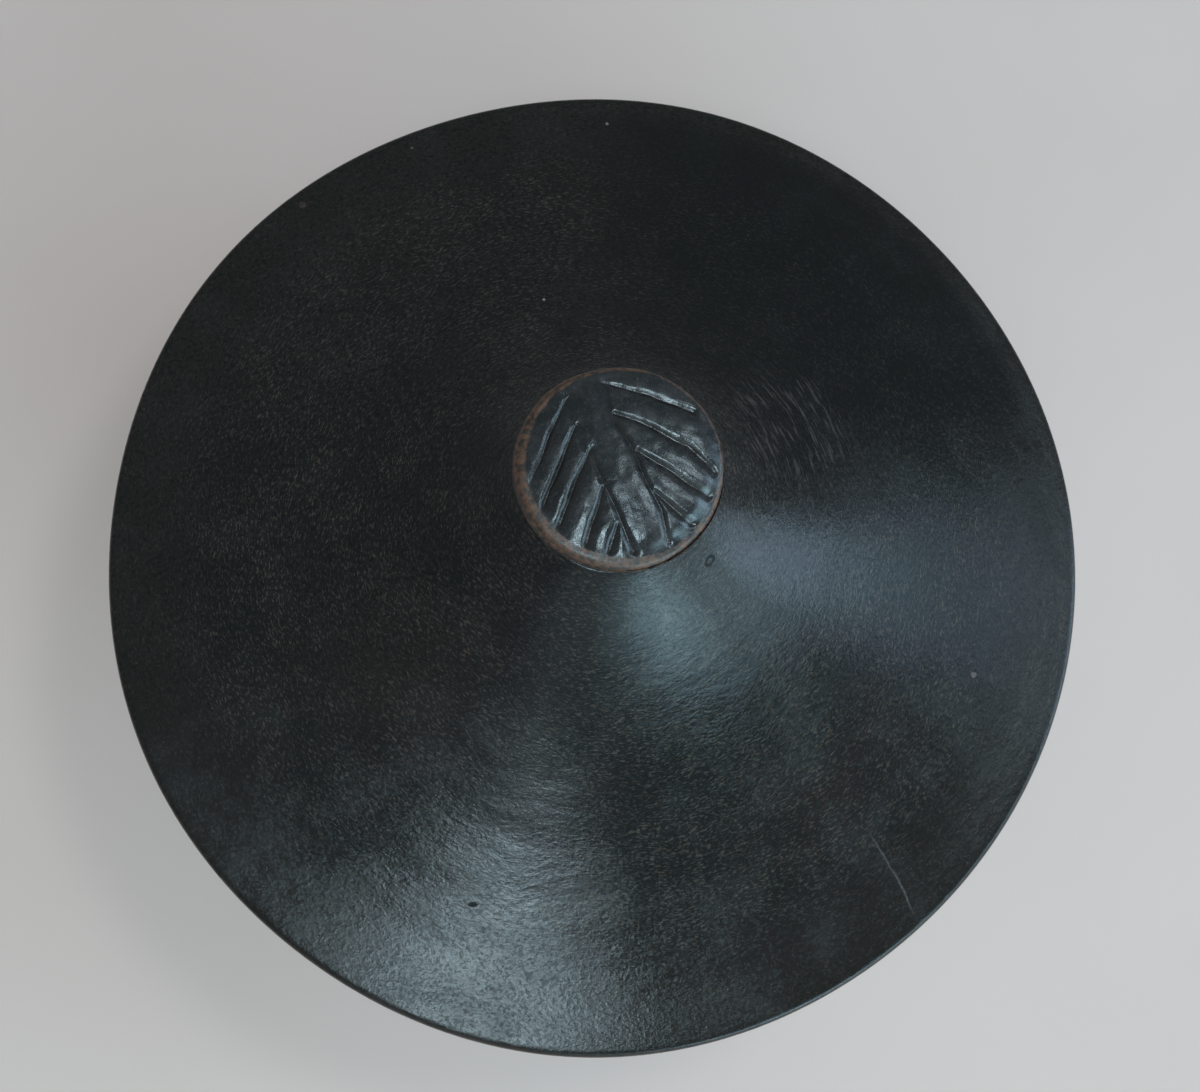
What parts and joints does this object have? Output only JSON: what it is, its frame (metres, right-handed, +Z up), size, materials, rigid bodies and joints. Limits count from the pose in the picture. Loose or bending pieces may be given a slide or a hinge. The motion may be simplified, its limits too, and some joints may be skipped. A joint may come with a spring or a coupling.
{
  "type": "lidded earthenware dish",
  "caption": "Round burnished black earthenware dish on a foot ring, with a wide lift-off lid that sweeps up to a knob carved with a leaf.",
  "frame": {"origin": "on the table, under the middle of the dish", "axes": "+Z up through the knob; the carved leaf points to -Y, so +X is on the right of a person who reads the leaf with its tip towards them"},
  "size_m": [0.3585, 0.3604, 0.1978],
  "materials": {
    "dish_clay": "smoked black, burnished outside, duller inside",
    "foot_clay": "smoked brown-black, unburnished",
    "lid_clay": "smoked black, burnished with visible strokes",
    "under_lid_clay": "smoked black, wiped smooth",
    "knob_clay": "smoked black, carved and burnished, with a rust-brown worn edge"
  },
  "bodies": {
    "dish": {"dish_bowl": "dish_clay", "dish_foot_ring": "foot_clay"},
    "lid": {"lid_shell": "lid_clay", "lid_locating_ring": "under_lid_clay", "knob_neck": "lid_clay", "knob_head": "knob_clay"}
  },
  "joints": [
    {"name": "lid_lift", "type": "slide", "parent": "dish", "child": "lid", "axis": [0, 0, 1], "range_m": [0, 0.12]}
  ]
}
